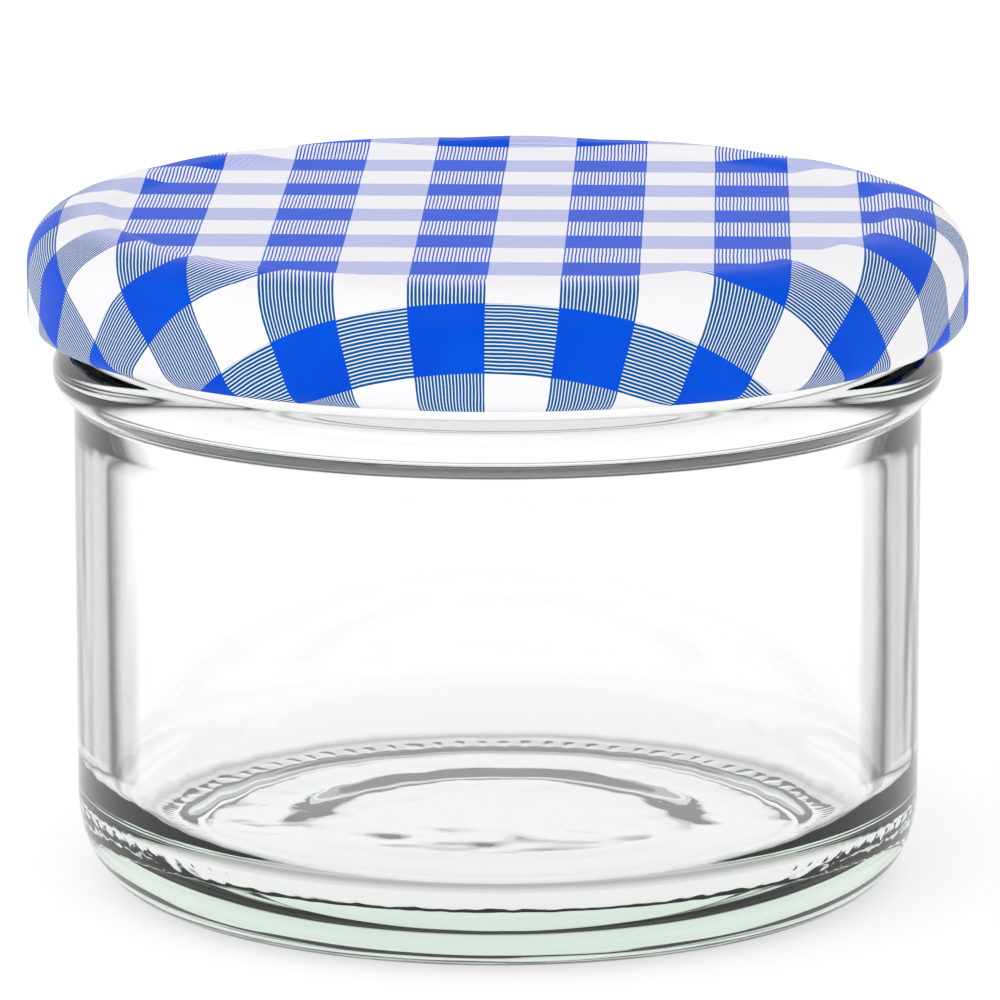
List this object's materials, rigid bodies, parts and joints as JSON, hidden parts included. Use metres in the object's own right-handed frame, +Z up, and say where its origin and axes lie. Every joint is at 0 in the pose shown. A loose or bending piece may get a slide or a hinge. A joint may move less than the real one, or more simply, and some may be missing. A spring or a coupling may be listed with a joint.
{
  "type": "sourdough starter jar",
  "caption": "Wide straight-sided clear glass jar with a rounded heel and a bead under the mouth, closed by a blue and white checked twist-off tinplate cap with a sealing ring.",
  "frame": {"origin": "centre of the ring that the jar stands on, on the table", "axes": "+Z up along the jar's axis, through the middle of the cap; +X points at the middle of one lug"},
  "size_m": [0.086, 0.086, 0.0625],
  "materials": {
    "clear_glass": "clear soda glass, faintly green at its thick edges",
    "sealing_compound": "satin, cured off-white compound",
    "printed_tinplate": "gloss lacquer over a blue and white check print, white inside"
  },
  "bodies": {
    "jar": {"jar": "clear_glass"},
    "cap_seal": {"sealing_ring": "sealing_compound"},
    "cap": {"cap_shell": "printed_tinplate"}
  },
  "joints": [
    {"name": "cap_lift", "type": "slide", "parent": "jar", "child": "cap_seal", "axis": [0, 0, 1], "range_m": [0, 0.05]},
    {"name": "cap_turn", "type": "hinge", "parent": "cap_seal", "child": "cap", "pos_m": [0, 0, 0.0611], "axis": [0, 0, 1], "range_deg": [-32, 0]}
  ]
}
